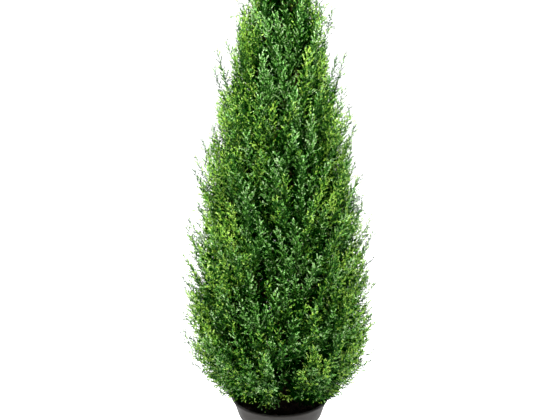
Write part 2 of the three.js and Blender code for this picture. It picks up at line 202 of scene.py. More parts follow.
def spun(profile, steps):
    """A turned shape. Its profile is radii and heights, and starts on the axis."""
    shape = bmesh.new()
    points = [shape.verts.new((radius, 0, height)) for radius, height in profile]
    edges = [shape.edges.new(pair) for pair in zip(points, points[1:])]
    bmesh.ops.spin(
        shape, geom=points + edges, cent=(0, 0, 0), axis=(0, 0, 1), angle=2 * math.pi,
        steps=steps, use_merge=True)
    bmesh.ops.remove_doubles(shape, verts=shape.verts, dist=SEAM_WELD)
    bmesh.ops.recalc_face_normals(shape, faces=shape.faces)
    return shape


def piece_from(shape, name, material, smooth=True):
    mesh = bpy.data.meshes.new(name)
    shape.to_mesh(mesh)
    shape.free()
    mesh.materials.append(material)
    mesh.polygons.foreach_set("use_smooth", [smooth] * len(mesh.polygons))
    piece = bpy.data.objects.new(name, mesh)
    bpy.context.scene.collection.objects.link(piece)
    return piece


def fitted(piece, nodes):
    """Sets a piece on the plant's one body and the solids that it stands for."""
    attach(piece, "root")
    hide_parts(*nodes)


def with_drains(piece):
    """Cuts the drain holes and rounds the moulded edges."""
    cutter_shape = bmesh.new()
    for number in range(DRAIN_COUNT):
        angle = 2 * math.pi * number / DRAIN_COUNT
        centre = Vector((math.cos(angle), math.sin(angle), 0)) * DRAIN_CIRCLE
        bmesh.ops.create_cone(
            cutter_shape, cap_ends=True, segments=DRAIN_SIDES, radius1=DRAIN_RADIUS,
            radius2=DRAIN_RADIUS, depth=DRAIN_CUT_DEPTH, matrix=Matrix.Translation(centre))
    cutter = piece_from(cutter_shape, "drain_cutter", piece.data.materials[0])
    cut = piece.modifiers.new("drains", "BOOLEAN")
    cut.operation = "DIFFERENCE"
    cut.solver = "EXACT"
    cut.object = cutter
    rounding = piece.modifiers.new("rounding", "BEVEL")
    rounding.width = POT_EDGE_ROUNDING
    rounding.segments = POT_EDGE_STEPS
    rounding.limit_method = "ANGLE"
    rounding.angle_limit = math.radians(POT_EDGE_ANGLE)
    bpy.context.view_layer.update()
    holder = bpy.context.evaluated_depsgraph_get()
    finished = bpy.data.meshes.new_from_object(piece.evaluated_get(holder))
    piece.modifiers.clear()
    piece.data = finished
    bpy.data.objects.remove(cutter)


LIP_FOOT = POT_HEIGHT - LIP_DEPTH
LIP_SHOULDER = POT_HEIGHT - 1.5 * LIP_EDGE
LIP_SEAM = POT_HEIGHT - 0.6 * LIP_EDGE
LIP_SEAM_RADIUS = LIP_RADIUS - 0.8 * LIP_EDGE
LIP_CREST_RADIUS = LIP_RADIUS - 1.2 * LIP_EDGE
HALF_WALL = POT_WALL / 2
skin_profile = [
    (0, BASE_RECESS),
    (BASE_RADIUS - FOOT_RING_WIDTH, BASE_RECESS),
    (BASE_RADIUS - FOOT_RING_WIDTH + BASE_RECESS, 0),
    (BASE_RADIUS, 0),
    *pot_wall(0),
    (COLLAR_TOP_RADIUS, LIP_FOOT),
    (LIP_RADIUS - LIP_EDGE / 2, LIP_FOOT),
    (LIP_RADIUS, LIP_FOOT + LIP_EDGE / 2),
    (LIP_RADIUS, LIP_SHOULDER),
    (LIP_RADIUS - LIP_EDGE, LIP_SEAM),
    (COLLAR_TOP_RADIUS - HALF_WALL, LIP_SEAM),
    *reversed(pot_wall(HALF_WALL)),
    (BASE_RADIUS - HALF_WALL, BASE_RECESS + HALF_WALL),
    (0, BASE_RECESS + HALF_WALL),
]
pot_outside = piece_from(
    spun(skin_profile, POT_STEPS), "pot_outside",
    pot_finish("taupe_plastic", TAUPE, TAUPE_DUSTY, TAUPE_SCUFFED, roughness=0.5, sheen=0.12))
with_drains(pot_outside)
fitted(pot_outside, ["pot"])

LINING_INSET = HALF_WALL + LAYER_GAP
lining_profile = [
    (0, BASE_RECESS + LINING_INSET),
    (BASE_RADIUS - LINING_INSET, BASE_RECESS + LINING_INSET),
    *pot_wall(LINING_INSET),
    (COLLAR_TOP_RADIUS - LINING_INSET, LIP_SEAM + LAYER_GAP),
    (LIP_SEAM_RADIUS, LIP_SEAM + LAYER_GAP),
    (LIP_CREST_RADIUS, POT_HEIGHT),
    (COLLAR_TOP_RADIUS - POT_WALL + LIP_EDGE, POT_HEIGHT),
    (COLLAR_TOP_RADIUS - POT_WALL, POT_HEIGHT - LIP_EDGE),
    *reversed(pot_wall(POT_WALL)),
    (BASE_RADIUS - POT_WALL, BASE_RECESS + POT_WALL),
    (0, BASE_RECESS + POT_WALL),
]
pot_lining = piece_from(
    spun(lining_profile, POT_STEPS), "pot_lining",
    pot_finish("black_plastic", POT_BLACK, POT_BLACK_DUSTY, POT_BLACK_DUSTY, roughness=0.38, sheen=0.3))
with_drains(pot_lining)
fitted(pot_lining, ["pot"])


# Soil: damp peaty potting mix, tipped into the pot and pressed down round the trunk.
# Crumbs of peat and chips of composted bark lie loose on its lumpy top.
SOIL_TOP = 0.173
SOIL_FALL = 0.005
SOIL_LEVEL_RADIUS = 0.040
SOIL_GAP = 0.0006
SOIL_RINGS = 44
SOIL_STEPS = 160
SOIL_LUMP = 0.0035
SOIL_LUMPS_PER_METRE = 90
# For noise.fractal: how smooth it is, the step between its octaves and their number.
SOIL_FRACTAL = (0.8, 2.1, 4)
SOIL_CALM_EDGE = 0.006
SOIL_SKIN = 1e-4
SOIL_SEED = 41
CRUMBS = 900
CRUMB_LENGTH = (0.0022, 0.0065)
CRUMB_WIDTH_SHARE = (0.7, 1)
CRUMB_THICKNESS_SHARE = (0.55, 0.9)
CHIPS = 170
CHIP_LENGTH = (0.007, 0.018)
CHIP_WIDTH_SHARE = (0.25, 0.5)
CHIP_THICKNESS = (0.0018, 0.0034)
SCATTER_MARGIN = 0.004
SCATTER_SHARES = (0.02, 1)
SCATTER_TILT = 0.35
SCATTER_LIFT = 0.4
SCATTER_RAGGED = 0.11
SOIL_DARK = (0.0075, 0.0050, 0.0035)
SOIL_BROWN = (0.034, 0.020, 0.012)
CHIP_BROWN = (0.062, 0.034, 0.019)
CHIP_DARK = (0.018, 0.010, 0.006)
GRAIN_STOPS = ((0.42, 0), (0.70, 1))
GRAIN_COVER = 0.6
GRAIN_RELIEF = 0.5
CLOD_DEPTH = 0.0015
CLOD_GLOSS = 0.2
GRAINS_PER_CLOD = 6
EARTH_SHEEN = 0.25
EARTH_ROUGHNESS = 0.95


def between(first, last, share):
    """The value at a share of the way from the first to the last."""
    return first + (last - first) * share


def soil_height(radius):
    """Level round the trunk, then falling a little towards the pot's wall."""
    fall = max(0, (radius - SOIL_LEVEL_RADIUS) / (COLLAR_FOOT_RADIUS - SOIL_LEVEL_RADIUS))
    return SOIL_TOP - SOIL_FALL * min(1, fall)


def earth_finish(name, dark, pale, scale):
    material, shader, place = new_finish(name, {"Specular IOR Level": EARTH_SHEEN})
    clods = cloudy(place, scale, detail=6, roughness=0.65)
    grains = cloudy(place, GRAINS_PER_CLOD * scale, detail=4, roughness=0.6, stops=GRAIN_STOPS)
    blended(grains * GRAIN_COVER, blended(clods, dark, pale), pale).feeds(shader, "Base Color")
    (EARTH_ROUGHNESS - clods * CLOD_GLOSS).feeds(shader, "Roughness")
    bumped(clods + grains * GRAIN_RELIEF, strength=0.8, depth=CLOD_DEPTH).feeds(shader, "Normal")
    return material


soil_random = np.random.default_rng(SOIL_SEED)
soil_inset = POT_WALL + SOIL_GAP
soil_edge_height = SOIL_TOP - SOIL_FALL
collar_climb = (soil_edge_height - POT_HEIGHT + COLLAR_DEPTH) / COLLAR_DEPTH
soil_radius = between(COLLAR_FOOT_RADIUS, COLLAR_TOP_RADIUS, collar_climb) - soil_inset
top_radii = [soil_radius * (1 - ring / SOIL_RINGS) for ring in range(SOIL_RINGS + 1)]
soil_profile = [
    (0, BASE_RECESS + soil_inset),
    (BASE_RADIUS - soil_inset, BASE_RECESS + soil_inset),
    *pot_wall(soil_inset),
    *[(radius, soil_height(radius)) for radius in top_radii],
]
soil_shape = spun(soil_profile, SOIL_STEPS)
for vertex in soil_shape.verts:
    radius = math.hypot(vertex.co.x, vertex.co.y)
    if vertex.co.z > soil_edge_height - SOIL_SKIN:
        calm = min(1, (soil_radius - radius) / SOIL_CALM_EDGE)
        lump = noise.fractal(vertex.co * SOIL_LUMPS_PER_METRE, *SOIL_FRACTAL)
        vertex.co.z += calm * SOIL_LUMP * lump
damp_mix = earth_finish("potting_mix", SOIL_DARK, SOIL_BROWN, scale=130)
soil = piece_from(soil_shape, "potting_mix", damp_mix)
fitted(soil, ["soil"])


def scattered(name, count, sizes, material):
    """Small loose lumps, each an icosphere pushed out of round, lying on the soil."""
    heap = bmesh.new()
    for _ in range(count):
        radius = (soil_radius - SCATTER_MARGIN) * math.sqrt(soil_random.uniform(*SCATTER_SHARES))
        angle = soil_random.uniform(0, 2 * math.pi)
        length, width, thickness = sizes(soil_random)
        turn = Matrix.Rotation(soil_random.uniform(0, 2 * math.pi), 4, "Z")
        tip = Matrix.Rotation(soil_random.normal(0, SCATTER_TILT), 4, "Y")
        place = Vector((radius * math.cos(angle), radius * math.sin(angle), 0))
        place.z = soil_height(radius) + SCATTER_LIFT * thickness
        matrix = Matrix.Translation(place) @ turn @ tip @ Matrix.Diagonal((length, width, thickness, 1))
        lump = bmesh.ops.create_icosphere(heap, subdivisions=1, radius=0.5, matrix=matrix)
        for vertex in lump["verts"]:
            vertex.co += Vector(soil_random.normal(0, SCATTER_RAGGED * thickness, 3))
    piece = piece_from(heap, name, material, smooth=False)
    fitted(piece, ["soil"])


def crumb_sizes(random):
    length = random.uniform(*CRUMB_LENGTH)
    width = length * random.uniform(*CRUMB_WIDTH_SHARE)
    return length, width, length * random.uniform(*CRUMB_THICKNESS_SHARE)


def chip_sizes(random):
    length = random.uniform(*CHIP_LENGTH)
    width = length * random.uniform(*CHIP_WIDTH_SHARE)
    return length, width, random.uniform(*CHIP_THICKNESS)


peat = earth_finish("peat_crumbs", SOIL_DARK, SOIL_BROWN, scale=400)
scattered("soil_crumbs", CRUMBS, crumb_sizes, peat)
composted_bark = earth_finish("bark_chips", CHIP_DARK, CHIP_BROWN, scale=260)
scattered("bark_chips", CHIPS, chip_sizes, composted_bark)


# Trunk and boughs: one leading stem, swept in from the right at its foot, with tiers of rising boughs.
# The bark is thin, brown and stringy, and peels in long shallow strips.
TRUNK_TIP = 1.165
TRUNK_FOOT_RADIUS = 0.011
TRUNK_TIP_RADIUS = 0.0024
ROOT_FLARE = 0.006
ROOT_FLARE_HEIGHT = 0.014
TRUNK_START = -0.006
TRUNK_END = 0.004
TRUNK_BOW = 0.005
TRUNK_FOOT_OFFSET = 0.020
TRUNK_FOOT_SWEEP = 0.110
TRUNK_TAPER_POWER = 0.8
TRUNK_SIDES = 40
TRUNK_RINGS = 220
TRUNK_RING_POWER = 1.4
FLARE_LOBES = 5
FLARE_LOBE_DEPTH = 0.22
FLARE_LOBE_TURN = 0.6
BARK_RELIEF = 0.11
BARK_STRIPS = 3.2
BARK_STRIP_LENGTH = 0.055
BARK_FRACTAL = (0.9, 2.0, 4)
CYLINDER_HALF = 0.5
HEADING_STEP = 0.01
CROWN_TOP = 1.345
BELLY_HEIGHT = 0.390
BELLY_RADIUS = 0.212
UNDERSIDE_DEPTH = 0.237
SHOULDER_POWER = 1.4
POINT_POWER = 0.76
TIERS = 7
BOUGH_TIERS = 4
FIRST_LAYER_REACH = 0.400
LAST_LAYER_REACH = 1.275
FIRST_LAYER_RISE = 35
LAST_LAYER_RISE = 74
LIP_CLEARANCE = 0.006
FOLIAGE_FLOOR = POT_HEIGHT + LIP_CLEARANCE
MOUTH_DIP = 0.022
MOUTH_EDGE = 0.106
MOUTH_SLOPE = 0.026
MASS_SPAN = 0.222
LEAST_MASSES = 3
FRONT_GAP = math.radians(-86)
TIER_TURN = math.radians(137.5)
BOUGH_SHARE = 0.32
STEM_SHARE = 0.7
BOUGH_FOOT_RADIUS = 0.005
BOUGH_TIP_RADIUS = 0.0032
BOUGH_START = 0.3
BOUGH_SINK = 0.6
BOUGH_SINK_AT = 0.05
BOUGH_COLLAR = 0.5
BOUGH_COLLAR_FALL = 9
MIDDLE_LEVEL = 0.5
BOUGH_SIDES = 14
BOUGH_RINGS = 26
TWIG_RADIUS = 0.0026
REACH_HALVINGS = 30
BARK_BROWN = (0.150, 0.088, 0.042)
BARK_GREY = (0.230, 0.172, 0.115)
BARK_DARK = (0.040, 0.022, 0.011)
BARK_FOOT_DARK = (0.012, 0.006, 0.003)
FOOT_DARK_BELOW = 0.20
PLAIN_BARK_ABOVE = 0.25
PATCH_COVER = 0.4
CRACK_STOPS = ((0.30, 1), (0.48, 0))
CRACK_COVER = 0.8
STRIP_DEPTH = 0.0012
STRIP_GLOSS = 0.15
BARK_SHEEN = 0.2
BARK_ROUGHNESS = 0.95


def trunk_share(height):
    return np.clip((height - SOIL_TOP) / (TRUNK_TIP - SOIL_TOP), 0, 1)


def axis_at(height):
    """The trunk's axis at a height, or at each of several heights, as points."""
    height = np.asarray(height, float)
    share = trunk_share(height)
    sweep = np.exp(np.minimum(0, SOIL_TOP - height) / TRUNK_FOOT_SWEEP)
    aside = between(TRUNK_START, TRUNK_END, share) + TRUNK_FOOT_OFFSET * sweep
    return np.stack([aside, TRUNK_BOW * np.sin(math.pi * share), height], axis=-1)


def outward(angle):
    """Level directions at angles round the trunk."""
    return np.stack([np.cos(angle), np.sin(angle), np.zeros_like(angle)], axis=-1)


def trunk_radius(height):
    taper = between(TRUNK_FOOT_RADIUS, TRUNK_TIP_RADIUS, trunk_share(height) ** TRUNK_TAPER_POWER)
    return taper + ROOT_FLARE * np.exp((SOIL_TOP - height) / ROOT_FLARE_HEIGHT)


def crown_radius(height):
    """The crown's outline: half an ellipse below the belly and a flame's point above it."""
    drop = np.clip((BELLY_HEIGHT - height) / UNDERSIDE_DEPTH, 0, 1)
    climb = np.clip((height - BELLY_HEIGHT) / (CROWN_TOP - BELLY_HEIGHT), 0, 1)
    return BELLY_RADIUS * np.sqrt(1 - drop ** 2) * (1 - climb ** SHOULDER_POWER) ** POINT_POWER


def layer_height(layer, radius):
    """The cone between two tiers. Layer 0 lies just over the lip and dips into the pot's mouth."""
    if layer == 0:
        over = np.clip((radius - MOUTH_EDGE + MOUTH_SLOPE) / MOUTH_SLOPE, 0, 1)
        return FOLIAGE_FLOOR - MOUTH_DIP * (1 - over * over * (3 - 2 * over))
    share = (layer - 1) / (TIERS - 1)
    reach = between(FIRST_LAYER_REACH, LAST_LAYER_REACH, share)
    rise = between(FIRST_LAYER_RISE, LAST_LAYER_RISE, share)
    return reach + (radius - crown_radius(reach)) * math.tan(math.radians(rise))


class MassSpace:
    """The space of one mass of foliage: a tier and a sector of the crown."""

    def __init__(self, tier, index, count):
        self.tier = tier
        self.name = f"{tier + 1}_{index + 1}"
        self.half = math.pi / count
        self.middle = FRONT_GAP + tier * TIER_TURN + (2 * index + 1) * self.half
        self.reach = float(self.reach_at(MIDDLE_LEVEL))

    def height(self, radius, level):
        return between(layer_height(self.tier, radius), layer_height(self.tier + 1, radius), level)

    def reach_at(self, level):
        """The radius at which a level leaves the crown."""
        near = np.zeros_like(np.asarray(level, float))
        far = near + 2 * BELLY_RADIUS
        for _ in range(REACH_HALVINGS):
            radius = (near + far) / 2
            inside = crown_radius(self.height(radius, level)) > radius
            near = np.where(inside, radius, near)
            far = np.where(inside, far, radius)
        return near

    def place(self, radius, side, level):
        """Points from a radius, a side from -1 to 1 and a level from 0, the layer below, to 1."""
        height = self.height(radius, level)
        angle = self.middle + side * self.half
        return axis_at(height) + outward(angle) * np.asarray(radius)[..., None]

    def limb_line(self, share):
        """The line that a bough and then the stem of its mass follow, out from the trunk's axis."""
        share = np.asarray(share, float)
        radius = self.reach * STEM_SHARE * share
        along_bough = np.minimum(1, radius / (BOUGH_SHARE * self.reach))
        level = between(BOUGH_START, MIDDLE_LEVEL, np.sin(math.pi / 2 * along_bough))
        return self.place(radius, np.zeros_like(share), level)

    def limb_radius(self, share):
        size = between(BOUGH_TIP_RADIUS, BOUGH_FOOT_RADIUS, 1 - self.tier / TIERS)
        return between(size, TWIG_RADIUS, share)


def masses_in(tier):
    reach = float(MassSpace(tier, 0, 1).reach)
    count = max(LEAST_MASSES, round(2 * math.pi * reach / MASS_SPAN))
    return [MassSpace(tier, index, count) for index in range(count)]


tiers = [masses_in(tier) for tier in range(TIERS)]


def barked_limb(line, radius_at, sides, rings, ring_power=1):
    """A limb with bark: a cylinder whose rings are carried along a line, with strips raised on it."""
    shape = bmesh.new()
    bmesh.ops.create_cone(
        shape, cap_ends=True, segments=sides, radius1=1, radius2=1, depth=2 * CYLINDER_HALF)
    upright = [
        edge for edge in shape.edges if abs(edge.verts[0].co.z - edge.verts[1].co.z) > CYLINDER_HALF]
    bmesh.ops.subdivide_edges(shape, edges=upright, cuts=rings - 1, use_grid_fill=True)
    for vertex in shape.verts:
        share = min(1, max(0, vertex.co.z + CYLINDER_HALF)) ** ring_power
        here = Vector(line(share))
        ahead = Vector(line(min(1, share + HEADING_STEP)))
        heading = ahead - Vector(line(max(0, share - HEADING_STEP)))
        angle = math.atan2(vertex.co.y, vertex.co.x)
        round_it = (BARK_STRIPS * math.cos(angle), BARK_STRIPS * math.sin(angle))
        strip = noise.fractal(Vector((*round_it, here.length / BARK_STRIP_LENGTH)), *BARK_FRACTAL)
        size = radius_at(share, angle) * (1 + BARK_RELIEF * strip)
        vertex.co = Vector((size * math.cos(angle), size * math.sin(angle), 0))
        vertex.co.rotate(Vector((0, 0, 1)).rotation_difference(heading))
        vertex.co += here
    return shape


def gathered(shapes):
    """Several shapes as one."""
    whole = bmesh.new()
    for shape in shapes:
        carrier = bpy.data.meshes.new("carrier")
        shape.to_mesh(carrier)
        shape.free()
        whole.from_mesh(carrier)
        bpy.data.meshes.remove(carrier)
    return whole


def bark_finish():
    material, shader, place = new_finish("stringy_bark", {"Specular IOR Level": BARK_SHEEN})
    strips = cloudy(stretched(place, across=420, along=30), scale=1, detail=6, roughness=0.65)
    patches = cloudy(place, scale=45, detail=4)
    fissured = stretched(place, across=900, along=45)
    cracks = cloudy(fissured, scale=1, detail=5, roughness=0.6, stops=CRACK_STOPS)
    colour = blended(strips, BARK_BROWN, BARK_GREY)
    colour = blended(patches * PATCH_COVER, colour, BARK_BROWN)
    colour = blended(cracks * CRACK_COVER, colour, BARK_DARK)
    # Towards the foot of the trunk the bark blends into a near-black colour.
    height = place.node("ShaderNodeSeparateXYZ", {}, {"Vector": place}, "Z")
    above_foot = height.node("ShaderNodeMapRange", {"interpolation_type": "SMOOTHSTEP"}, {
        "Value": height, "From Min": FOOT_DARK_BELOW, "From Max": PLAIN_BARK_ABOVE})
    blended(above_foot, BARK_FOOT_DARK, colour).feeds(shader, "Base Color")
    (BARK_ROUGHNESS - strips * STRIP_GLOSS).feeds(shader, "Roughness")
    bumped(strips - cracks * CRACK_COVER, strength=0.7, depth=STRIP_DEPTH).feeds(shader, "Normal")
    return material


bark = bark_finish()


def trunk_line(share):
    return axis_at(between(SOIL_TOP, TRUNK_TIP, share))


def trunk_size(share, angle):
    height = between(SOIL_TOP, TRUNK_TIP, share)
    fading = math.exp((SOIL_TOP - height) / ROOT_FLARE_HEIGHT)
    lobes = 1 + FLARE_LOBE_DEPTH * math.cos(FLARE_LOBES * angle + FLARE_LOBE_TURN) * fading
    return float(trunk_radius(height)) * lobes


trunk_shape = barked_limb(trunk_line, trunk_size, TRUNK_SIDES, TRUNK_RINGS, TRUNK_RING_POWER)
trunk = piece_from(trunk_shape, "trunk_bark", bark)
fitted(trunk, ["trunk"])

BOUGH_END = BOUGH_SHARE / STEM_SHARE


def bough_of(space):
    """A bough from just inside the trunk's bark, with a collar at its foot, to its mass."""
    bark_radius = float(trunk_radius(space.limb_line(BOUGH_SINK_AT)[2]))
    foot = BOUGH_SINK * bark_radius / (space.reach * STEM_SHARE)

    def line(share):
        return space.limb_line(between(foot, BOUGH_END, share))

    def size(share, angle):
        collar = 1 + BOUGH_COLLAR * math.exp(-BOUGH_COLLAR_FALL * share)
        return space.limb_radius(BOUGH_END * share) * collar

    return barked_limb(line, size, BOUGH_SIDES, BOUGH_RINGS)


bough_shape = gathered([bough_of(space) for tier in tiers[:BOUGH_TIERS] for space in tier])
boughs = piece_from(bough_shape, "bough_bark", bark)
fitted(boughs, [f"bough_{space.name}" for tier in tiers[:BOUGH_TIERS] for space in tier])


# Twigs: the stem of each mass goes on from its bough or the trunk, and twigs leave it for every plume.
# Old wood is brown. The shoots that carry leaves are green, slim as cords, and finer at each branching.
# Plumes make the outside of the crown, and sparser sprays fill the shade behind them.
PLUME_PATCH = 0.00100
LEAST_PLUMES = 8
PLUME_SIDE_SPAN = 1.04
PLUME_SIDE_SCATTER = 0.15
PLUME_REACH = 1.06
PLUME_LEAFY_END = 0.009
PLUME_RAGGED = 0.0050
PLUME_MOST = 0.026
STRAY_SHARE = 0.10
STRAY_REACH = 0.026
STRAY_MOST = 0.3
STRAY_FULLNESS = 0.55
STRAY_TINT = -0.25
HOLLOW_SIZE = 0.048
HOLLOW_BELOW = -0.28
HOLLOW_DEPTH = 0.12
HOLLOW_PAINTED_SHADE = -0.2
SPRAY_SINK = 0.70
SPRAY_DROP = 0.45
LOW_LEVEL = 0.02
HIGH_LEVEL = 0.98
SPRAY_LOWEST = 0.08
NO_LOWEST = -1.0
SPRAY_GATHER = 0.8
FIRST_TWIG = 0.3
LAST_TWIG = 0.98
TWIG_BY_LEVEL = 0.7
TWIG_BY_CHANCE = 0.3
INNER_SPRAYS = 50
LOW_INNER_SPRAYS = 30
INNER_REACH = (0.50, 1.0)
INNER_INSET = 0.016
INNER_LEVELS = (-0.2, 1.0)
INNER_LEAF_SCALE = 2.6
INNER_SHOOT_SPACING = 3.0
FRONT_LIFT = 0.36
FRONT_LIFT_MIDDLE = math.radians(-92)
FRONT_LIFT_POWER = 3
FRONT_GAP_SHARE = 0.30
WOODY_UNTIL = 0.5
WOODY_OVERLAP = 0.02
SPRAY_RINGS = 4
SPRAY_SIDES = 3
STEM_FOOT = 0.02
STEM_RINGS = 12
STEM_SIDES = 7
LEAFY_FROM = 0.42
AXIS_RADIUS = 0.0013
AXIS_TIP_RADIUS = 0.0004
SHOOT_RADIUS = 0.00055
SHOOT_SIDES = 3
SHOOT_SPACING = 0.0037
SHOOT_SHARE = 0.15
SHOOT_LEAST = 0.007
SHOOT_FLATNESS = 0.75
LEAST_SHOOTS = 6
SHOOT_PLACE = (0.1, 0.9)
SHOOT_TURN_SPREAD = 0.3
SHOOT_LEAN = 56
SHOOT_LEAN_FALL = 24
SHOOT_LEAN_SPREAD = 9
SHOOT_UPLIFT = (0, 0, 0.12)
SWELL_START = 0.45
SWELL_RISE = 0.6
TIP_SHORTER = 0.48
TIP_POWER = 3
SHOOT_LENGTHS = (0.7, 1.15)
NEARLY_UPRIGHT = 0.95
SHORTEST = 1e-12
GOLDEN_TURN = math.pi * (3 - math.sqrt(5))
GOLDEN_SHARE = (math.sqrt(5) - 1) / 2
TWIG_BROWN = (0.085, 0.046, 0.020)
SHOOT_GREEN = (0.030, 0.100, 0.006)

GROWTH_SEED = 173
growth = np.random.default_rng(GROWTH_SEED)


def unit(vectors):
    return vectors / np.maximum(np.linalg.norm(vectors, axis=-1, keepdims=True), SHORTEST)


def square_to(directions):
    """Two directions square to each of the given ones and to each other."""
    aside = np.where(np.abs(directions[..., 2:]) > NEARLY_UPRIGHT, (1.0, 0.0, 0.0), (0.0, 0.0, 1.0))
    first = unit(np.cross(directions, aside))
    return first, np.cross(directions, first)


def tubes(points, radii, sides):
    """Closed tubes along rows of points, as vertices and triangles."""
    rows, length = points.shape[:2]
    heading = unit(np.gradient(points, axis=1))
    first, second = square_to(heading)
    turn = 2 * math.pi * np.arange(sides) / sides
    ring = first[:, :, None] * np.cos(turn)[:, None] + second[:, :, None] * np.sin(turn)[:, None]
    vertices = points[:, :, None] + ring * radii[:, :, None, None]
    here = np.arange(length - 1)[:, None] * sides + np.arange(sides)
    beside = np.arange(length - 1)[:, None] * sides + (np.arange(sides) + 1) % sides
    near_halves = np.stack([here, beside, beside + sides], -1).reshape(-1, 3)
    far_halves = np.stack([here, beside + sides, here + sides], -1).reshape(-1, 3)
    fan = np.arange(1, sides - 1)
    foot_cap = np.stack([0 * fan, fan + 1, fan], -1)
    tip_cap = np.stack([0 * fan, fan, fan + 1], -1) + (length - 1) * sides
    one = np.concatenate([near_halves, far_halves, foot_cap, tip_cap])
    triangles = one[None] + (np.arange(rows) * length * sides)[:, None, None]
    return vertices.reshape(-1, 3), triangles.reshape(-1, 3)


def spikes(start, heading, length):
    """Slim three-sided points, one for each side shoot, as vertices and triangles."""
    first, second = square_to(heading)
    turn = 2 * math.pi * np.arange(SHOOT_SIDES) / SHOOT_SIDES
    ring = first[:, None] * np.cos(turn)[:, None] + second[:, None] * np.sin(turn)[:, None]
    tip = start + heading * length[:, None]
    vertices = np.concatenate([start[:, None] + SHOOT_RADIUS * ring, tip[:, None]], 1)
    one = np.array([(0, 1, 3), (1, 2, 3), (2, 0, 3), (0, 2, 1)])
    triangles = one[None] + ((SHOOT_SIDES + 1) * np.arange(len(start)))[:, None, None]
    return vertices.reshape(-1, 3), triangles.reshape(-1, 3)


def joined(parts):
    """Several meshes of vertices and triangles as one."""
    offsets = np.cumsum([0] + [len(vertices) for vertices, _ in parts])
    vertices = np.concatenate([vertices for vertices, _ in parts])
    triangles = np.concatenate([triangles + offset for (_, triangles), offset in zip(parts, offsets)])
    return vertices, triangles


def piece_of_many(name, vertices, triangles, material):
    """One piece from the joined mesh of many small things."""
    mesh = bpy.data.meshes.new(name)
    mesh.vertices.add(len(vertices))
    mesh.vertices.foreach_set("co", vertices.astype(np.float32).ravel())
    mesh.loops.add(triangles.size)
    mesh.loops.foreach_set("vertex_index", triangles.astype(np.int32).ravel())
    mesh.polygons.add(len(triangles))
    mesh.polygons.foreach_set("loop_start", np.arange(0, triangles.size, 3, dtype=np.int32))
    mesh.update(calc_edges=True)
    mesh.validate()
    mesh.materials.append(material)
    piece = bpy.data.objects.new(name, mesh)
    bpy.context.scene.collection.objects.link(piece)
    return piece


class Sprays(namedtuple("SprayRows", "root foot tip outer fullness tint")):
    """Rows of sprays: each grows in a curve from a root on a stem, past a foot, to its tip."""

    def at(self, rows, share):
        """Points and directions at shares of the way along the given rows."""
        share = share[..., None]
        back = 1 - share
        points = back ** 2 * self.root[rows] + 2 * back * share * self.foot[rows]
        points = points + share ** 2 * self.tip[rows]
        heading = back * (self.foot[rows] - self.root[rows]) + share * (self.tip[rows] - self.foot[rows])
        return points, unit(heading)

    def lengths(self):
        return np.linalg.norm(self.tip - self.foot, axis=-1)


def clear_of_front_gap(space, side):
    """Sides moved out of the gap in the foot of the crown, through which the trunk shows."""
    if space is tiers[0][0]:
        return side + FRONT_GAP_SHARE * (1 - side) / 2
    if space is tiers[0][-1]:
        return side - FRONT_GAP_SHARE * (1 + side) / 2
    return side


def sprays_in(space):
    """The plumes on the outside of a mass, slim strays among them, and sparser sprays in its shade."""
    low = float(space.reach_at(LOW_LEVEL))
    high = float(space.reach_at(HIGH_LEVEL))
    rise = float(space.height(high, HIGH_LEVEL) - space.height(low, LOW_LEVEL))
    slant = math.hypot(rise, high - low)
    plumes = max(LEAST_PLUMES, round(2 * space.half * space.reach * slant / PLUME_PATCH))
    count = plumes + INNER_SPRAYS + LOW_INNER_SPRAYS * (space.tier == 0)
    number = np.arange(count)
    outer = number < plumes
    even_level = (number + growth.uniform(0, 1, count)) / plumes
    level = np.where(outer, even_level, growth.uniform(*INNER_LEVELS, count))
    scatter = growth.uniform(0, PLUME_SIDE_SCATTER, count)
    side = PLUME_SIDE_SPAN * (((number * GOLDEN_SHARE + scatter) % 1) * 2 - 1)
    lowest = np.full(count, NO_LOWEST)
    if space.tier == 0:
        side = clear_of_front_gap(space, side)
        facing = np.maximum(0, np.cos(space.middle + side * space.half - FRONT_LIFT_MIDDLE))
        lowest = SPRAY_LOWEST + FRONT_LIFT * facing ** FRONT_LIFT_POWER
        level = between(lowest, 1, np.maximum(0, level))
    reach = space.reach_at(level)
    surface = space.place(reach, side, level)
    hollow = np.array([noise.noise(Vector(point) / HOLLOW_SIZE) < HOLLOW_BELOW for point in surface])
    stray = outer & (growth.uniform(0, 1, count) < STRAY_SHARE)
    drawn_in = HOLLOW_DEPTH * hollow * ~stray
    extent = np.where(outer, PLUME_REACH - drawn_in, growth.uniform(*INNER_REACH, count))
    past = np.where(outer, growth.normal(0, PLUME_RAGGED, count) - PLUME_LEAFY_END, -INNER_INSET)
    past += np.minimum(STRAY_REACH, STRAY_MOST * reach) * stray
    tip = space.place(np.minimum(extent * reach + past, reach + PLUME_MOST), side, level)
    foot_level = np.maximum(lowest, level - SPRAY_DROP)
    foot = space.place(SPRAY_SINK * extent * space.reach_at(foot_level), SPRAY_GATHER * side, foot_level)
    twig = np.clip(TWIG_BY_LEVEL * level + TWIG_BY_CHANCE * growth.uniform(0, 1, count), 0, 1)
    root = space.limb_line(between(FIRST_TWIG, LAST_TWIG, twig))
    fullness = np.where(stray, STRAY_FULLNESS, 1)
    # Plumes drawn into a hollow are tinted darker: painted shade.
    return Sprays(root, foot, tip, outer, fullness, STRAY_TINT * stray + HOLLOW_PAINTED_SHADE * hollow)


